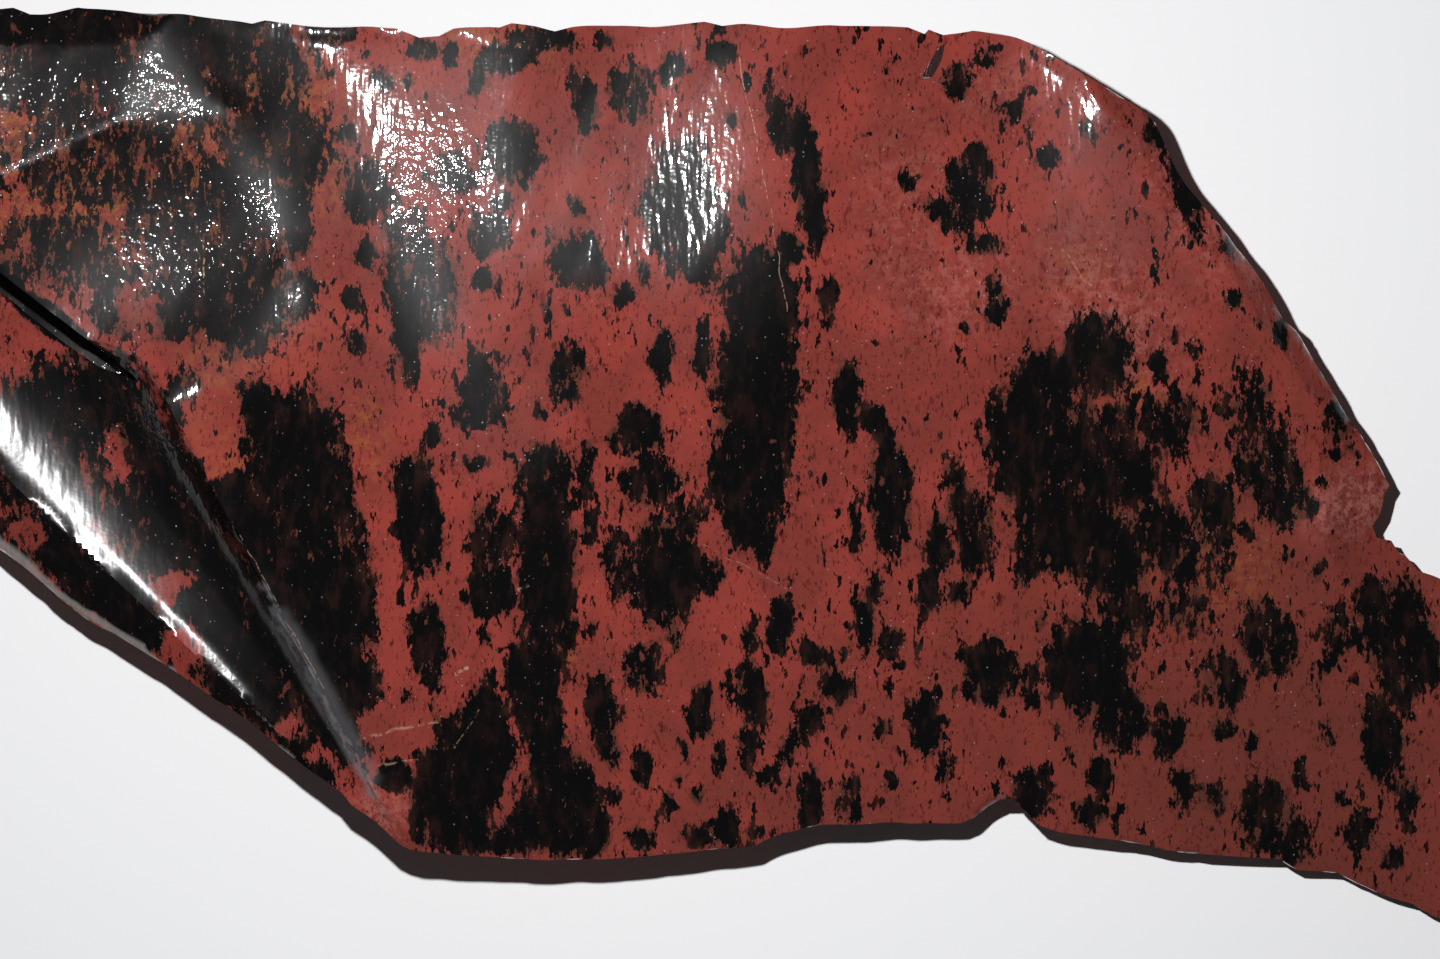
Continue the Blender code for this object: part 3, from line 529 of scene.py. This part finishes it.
# the glass: its colours, its finish, and the noise that roughens its markings
glass = {
    "red": (0.265, 0.043, 0.033, 1),
    "deepRed": (0.175, 0.034, 0.027, 1),
    "shadyRed": (0.125, 0.032, 0.023, 1),
    "dotRed": (0.075, 0.008, 0.008, 1),
    "brown": (0.075, 0.027, 0.019, 1),
    "black": (0.0035, 0.0033, 0.0036, 1),
    "rust": (0.30, 0.095, 0.024, 1),
    "bruise": (0.50, 0.20, 0.17, 1),
    "scratch": (0.50, 0.32, 0.22, 1),
    "reflectionGrey": (0.20, 0.20, 0.215, 1),
    "glintSpeck": (0.55, 0.54, 0.60, 1),
    "rim": (0.36, 0.36, 0.34, 1),
    "roughness": 0.058,
    "dullness": 0.42,             # how much rougher full haze is
    "scratchDullness": 0.2,
    "ior": 1.49,
    "shine": 0.32,
    "sheenRoughness": 0.40,       # of the frosted sheen
    "sheen": 0.30,                # its weight at full frost or haze
    "ragged": (0.85, 5.0, 0.68, 2.0),   # lumps to a mm, detail, roughness, and how far they shift an edge
    "fine": (2.6, 4.0, 0.70, 2.1),
    "loose": (1.1, 3.0, 0.65, 1.2),
    "cloudy": (0.11, 2.0, 0.5, 0.42),
    "blackEdge": (0.44, 0.52),    # the black starts and is full
    "darkEdge": (0.30, 0.72),     # the same for the brown that shows inside the mottled patches
    "darkness": 0.92,             # how brown it is there
    "shading": 0.75,              # how much of the red turns to shadyRed in full shade
    "glintCells": 3.4,             # cells to a mm; few of them hold a painted glint
    "glintSize": (0.13, 0.24),     # a painted glint ends between these shares of a cell
    "glintRarity": (0.88, 0.98),
    "scratchWander": (0.5, 0.7),  # lumps to a mm, and how far they bend a scratch, mm
    "hackles": (1.9, 0.18, 0.52), # streaks to a mm, height, and how much higher where frosted
    "graininess": (2.2, 0.05, 0.16),
    "pebbles": (1.5, 1.9),        # lumps to a mm, and height where fully frosted
    "pebbled": (0.60, 0.95),      # how frosted it is where the pebbles start and are full
    "reliefDepth": 0.10,          # mm
    "reliefStrength": 0.8,
}
# spots of noise: lumps to a mm, detail, roughness, where they start and are full, and how strong they are
spots = {
    "tone": (0.20, 3.0, 0.6, 0.36, 0.66, 1.0),
    "flecks": (4.2, 3.0, 0.7, 0.40, 0.62, 0.30),
    "rust": (1.3, 3.0, 0.72, 0.45, 0.62, 0.85),
    "bruise": (1.4, 3.0, 0.75, 0.42, 0.62, 0.42),
    "smoke": (0.9, 3.0, 0.7, 0.46, 0.74, 1.0),
    "specks": (1.5, 3.0, 0.6, 0.625, 0.655, 1.0),
    "dust": (4.6, 2.0, 0.5, 0.61, 0.69, 0.6),
    "redDots": (2.8, 3.0, 0.6, 0.58, 0.66, 0.55),
    "paintedGlints": (0.30, 2.0, 0.5, 0.36, 0.56, 1.0),
    "scratches": (2.2, 2.0, 0.7, 0.42, 0.56, 1.0),
    "paintedReflection": (0.9, 2.0, 0.6, 0.30, 0.60, 1.0),
}
# fine scratches: from x, y to x, y, half width, how pale. Millimetres from the picture's middle
scratches = [
    (1.4, 29.5, 3.4, 19.5, 0.030, 0.6), (3.4, 19.5, 4.7, 11.7, 0.030, 0.5),
    (-35.9, 16.6, -35.6, 12.4, 0.05, 0.7), (-24.8, -17.9, -19.6, -16.9, 0.09, 0.4),
    (-23.8, -20.0, -21.0, -19.6, 0.07, 0.4), (-18.4, -18.8, -16.8, -16.2, 0.05, 0.35),
    (-18.4, -13.5, -17.4, -13.2, 0.12, 0.6), (-14.0, -7.6, -13.4, -7.3, 0.12, 0.4),
    (-33.4, -3.6, -27.6, -14.6, 0.030, 0.4), (-1.0, -4.6, 4.6, -7.6, 0.03, 0.35),
    (24.0, 16.0, 26.6, 12.8, 0.06, 0.35),
]
# painted reflection: the grey band on the long ridge, broken up by noise, and the fainter one around it:
# values as above
reflectionLines = [(-31.9, -7.4, -24.2, -21.9, 0.35, 0.6), (-30.4, -9.8, -24.4, -20.8, 0.7, 0.22)]
# painted highlight: the thin rim by the flute is painted paler, where it catches the light: values as above
rimHighlightLines = [
    (-52.0, -3.2, -47.0, -7.6, 0.42, 0.55), (-47.0, -7.6, -40.6, -11.9, 0.26, 0.5),
    (-40.6, -11.9, -34.2, -16.8, 0.18, 0.5), (-34.2, -16.8, -27.0, -22.0, 0.14, 0.5),
]


def makeGlass():
    material = bpy.data.materials.new("mahoganyObsidian")
    material.use_nodes = True
    tree = material.node_tree
    shader = tree.nodes["Principled BSDF"]
    start = Wire(tree, None)
    place = start.out("ShaderNodeTexCoord", "Object")
    lean = (0, 0, math.radians(-shape["streakLean"]))
    streaky = start.out("ShaderNodeMapping", 0, {"vector_type": "POINT"}, Vector=place,
                        Rotation=lean, Scale=(1000, 420, 700))
    even = start.out("ShaderNodeMapping", 0, {"vector_type": "POINT"}, Vector=place, Scale=(1000, 1000, 1000))

    def noiseOf(where, scale, detail, rough=0.5):
        return start.out("ShaderNodeTexNoise", 0, Vector=where, Scale=scale, Detail=detail, Roughness=rough)

    def shiftOf(name, where):
        scale, detail, rough, far = glass[name]
        return (noiseOf(where, scale, detail, rough) - 0.5) * far

    def spotsOf(name, where, more=None):
        # more is a wire that adds to the noise, so that there are more spots where it is large
        scale, detail, rough, low, high, strength = spots[name]
        field = noiseOf(where, scale, detail, rough)
        if more is not None:
            field = field + more
        return field.above(low, high) * strength

    def layer(name):
        return start.out("ShaderNodeAttribute", "Fac", {"attribute_type": "GEOMETRY", "attribute_name": name})

    def vectorMaths(operation, a, b, output="Vector"):
        return start.out("ShaderNodeVectorMath", output, {"operation": operation}, i0=a, i1=b)

    wanderCount, wanderFar = glass["scratchWander"]
    wander = start.out("ShaderNodeTexNoise", "Color", Vector=even, Scale=wanderCount, Detail=1.0)
    wander = vectorMaths("SUBTRACT", wander, (0.5, 0.5, 0.5))
    wander = vectorMaths("MULTIPLY", wander, (wanderFar, wanderFar, 0))
    flat = vectorMaths("ADD", vectorMaths("MULTIPLY", even, (1, 1, 0)), wander)

    def lineOf(x1, y1, x2, y2, width, strength):
        run = Vector((x2 - x1, y2 - y1, 0))
        fromStart = vectorMaths("SUBTRACT", flat, (x1, y1, 0))
        part = vectorMaths("DOT_PRODUCT", fromStart, tuple(run / run.length_squared), "Value")
        part = part.maths("MAXIMUM", part.maths("MINIMUM", part, 1.0), 0.0)
        onLine = start.out("ShaderNodeVectorMath", "Vector", {"operation": "SCALE"},
                           i0=tuple(run), Scale=part)
        away = vectorMaths("LENGTH", vectorMaths("SUBTRACT", fromStart, onLine), (0, 0, 0), "Value")
        return (1 - away.above(width * 0.4, width * 1.6)) * strength

    def linesOf(rows):
        lines = lineOf(*rows[0])
        for row in rows[1:]:
            lines = lines.larger(lineOf(*row))
        return lines

    blacknessAndCrackShadow, rustiness, hazy = layer("blacknessAndCrackShadow"), layer("rust"), layer("haze")
    bruised, shaded, frosted = layer("bruise"), layer("shade"), layer("frost")

    red = spotsOf("tone", even).blend(glass["deepRed"], glass["red"])
    red = spotsOf("flecks", even).blend(red, glass["red"])
    # painted shade: the red turns to a darker, shaded red where the shade layer is full
    red = (shaded * glass["shading"]).blend(red, glass["shadyRed"])
    rusty = rustiness * spotsOf("rust", even)
    red = rusty.blend(red, glass["rust"])
    red = (bruised * spotsOf("bruise", even)).blend(red, glass["bruise"])
    dark = (blacknessAndCrackShadow + shiftOf("loose", even)).above(*glass["darkEdge"]) * glass["darkness"]
    colour = dark.blend(red, (rusty * 0.6).blend(glass["brown"], glass["rust"]))

    # the black, with brown clouds that are faint where it is solid
    smoke = spotsOf("smoke", streaky) * (0.62 - blacknessAndCrackShadow * 0.5).larger(0.06)
    edge = blacknessAndCrackShadow + shiftOf("ragged", streaky) + shiftOf("fine", streaky)
    blackPart = edge.above(*glass["blackEdge"])
    specks = spotsOf("specks", streaky, shiftOf("cloudy", even) + blacknessAndCrackShadow * 0.06)
    allBlack = blackPart.larger(specks).larger(spotsOf("dust", streaky))
    colour = allBlack.blend(colour, smoke.blend(glass["black"], glass["brown"]))
    redDots = spotsOf("redDots", streaky) * (1 - blackPart)
    colour = redDots.blend(colour, glass["dotRed"])

    # the painted reflection on the long ridge, the painted highlight on the thin rim, the scratches and the
    # tiny painted glints
    # painted reflection: a grey band is painted along the long ridge
    paintedReflection = (lineOf(*reflectionLines[0]) * spotsOf("paintedReflection", even)).larger(lineOf(*reflectionLines[1]))
    colour = paintedReflection.blend(colour, glass["reflectionGrey"])
    # painted highlight: the thin rim by the flute is painted pale
    colour = linesOf(rimHighlightLines).blend(colour, glass["rim"])
    marks = linesOf(scratches) * spotsOf("scratches", even)
    colour = marks.blend(colour, glass["scratch"])
    # painted glints: tiny pale specks in the colour stand in for sparkles, more of them where frosted
    cells = start.add("ShaderNodeTexVoronoi", Vector=even, Scale=glass["glintCells"])
    glintAway = Wire(tree, cells.outputs["Distance"])
    glintKind = start.out("ShaderNodeSeparateColor", 0, Color=Wire(tree, cells.outputs["Color"]))
    paintedGlints = (1 - glintAway.above(*glass["glintSize"])) * glintKind.above(*glass["glintRarity"])
    paintedGlints = paintedGlints * (0.28 + frosted * 0.7) * spotsOf("paintedGlints", even)
    colour = paintedGlints.blend(colour, glass["glintSpeck"])
    tree.links.new(colour.socket, shader.inputs["Base Color"])

    roughness = glass["roughness"] + hazy * glass["dullness"] + marks * glass["scratchDullness"]
    tree.links.new(roughness.socket, shader.inputs["Roughness"])
    sheen = (frosted + hazy) * glass["sheen"]
    tree.links.new(sheen.socket, shader.inputs["Coat Weight"])
    shader.inputs["Coat Roughness"].default_value = glass["sheenRoughness"]
    shader.inputs["IOR"].default_value = glass["ior"]
    shader.inputs["Specular IOR Level"].default_value = glass["shine"]

    # fine hackles that lean to the right, grain and pebbles
    hackles = start.out("ShaderNodeMapping", 0, {"vector_type": "POINT"}, Vector=place,
                        Rotation=(0, 0, math.radians(-shape["hackleLean"])), Scale=(1000, 260, 700))
    streakCount, streakHeight, frostedStreaks = glass["hackles"]
    grainCount, grainHeight, frostedGrain = glass["graininess"]
    pebbleCount, pebbleHeight = glass["pebbles"]
    relief = noiseOf(hackles, streakCount, 1.0) * (streakHeight + frosted * frostedStreaks)
    relief = relief + noiseOf(even, grainCount, 1.0) * (grainHeight + frosted * frostedGrain)
    relief = relief + noiseOf(even, pebbleCount, 2.0, 0.6) * frosted.above(*glass["pebbled"]) * pebbleHeight
    bump = start.out("ShaderNodeBump", 0, Strength=glass["reliefStrength"],
                     Distance=glass["reliefDepth"] * mm, Height=relief)
    tree.links.new(bump.socket, shader.inputs["Normal"])
    return material


stone.data.materials.append(makeGlass())
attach(stone, "root")
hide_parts("obsidian_chunk")
print("glass made")

# floor, light and camera
studio = {
    "paperWidth": 3000.0,     # this and the other lengths in mm
    "paperBelow": 0.02,
    "paper": (0.85, 0.855, 0.87, 1),
    "paperRoughness": 0.9,
    "skyStrength": 0.03,
    "lampPlace": (-15.0, 32.0, 215.0),
    "lampSize": 6.0,
    "lampPower": 0.50,
    "cameraAway": 600.0,      # from the middle of the stone's thickness
    "middleHeight": 8.0,
    "sensorWidth": 36.0,
}

bpy.ops.object.select_all(action="DESELECT")
bpy.ops.mesh.primitive_plane_add(size=studio["paperWidth"] * mm, location=(0, 0, -studio["paperBelow"] * mm))
floor = bpy.context.object
floor.name = "paper"
paper = bpy.data.materials.new("paleMattePaper")
paper.use_nodes = True
paperShader = paper.node_tree.nodes["Principled BSDF"]
paperShader.inputs["Base Color"].default_value = studio["paper"]
paperShader.inputs["Roughness"].default_value = studio["paperRoughness"]
floor.data.materials.append(paper)

sky = bpy.data.worlds.new("studioAir")
sky.use_nodes = True
sky.node_tree.nodes["Background"].inputs["Color"].default_value = (1, 1, 1, 1)
sky.node_tree.nodes["Background"].inputs["Strength"].default_value = studio["skyStrength"]
bpy.context.scene.world = sky

lamp = bpy.data.lights.new("mainLamp", "AREA")
lamp.shape = "DISK"
lamp.size = studio["lampSize"] * mm
lamp.energy = studio["lampPower"]
lampHolder = bpy.data.objects.new("mainLamp", lamp)
bpy.context.scene.collection.objects.link(lampHolder)
lampHolder.location = Vector(studio["lampPlace"]) * mm
lampHolder.rotation_euler = (-lampHolder.location).to_track_quat("-Z", "Y").to_euler()   # at the stone

lens = bpy.data.cameras.new("camera")
lens.sensor_width = studio["sensorWidth"]
lens.lens = studio["sensorWidth"] * studio["cameraAway"] / picture["width"]
lens.clip_start = 0.01
camera = bpy.data.objects.new("camera", lens)
bpy.context.scene.collection.objects.link(camera)
cameraHeight = studio["cameraAway"] + studio["middleHeight"]
camera.location = Vector((*picture["middle"], cameraHeight)) * mm
bpy.context.scene.camera = camera
bpy.context.scene.view_settings.view_transform = "Standard"
print("studio set up")
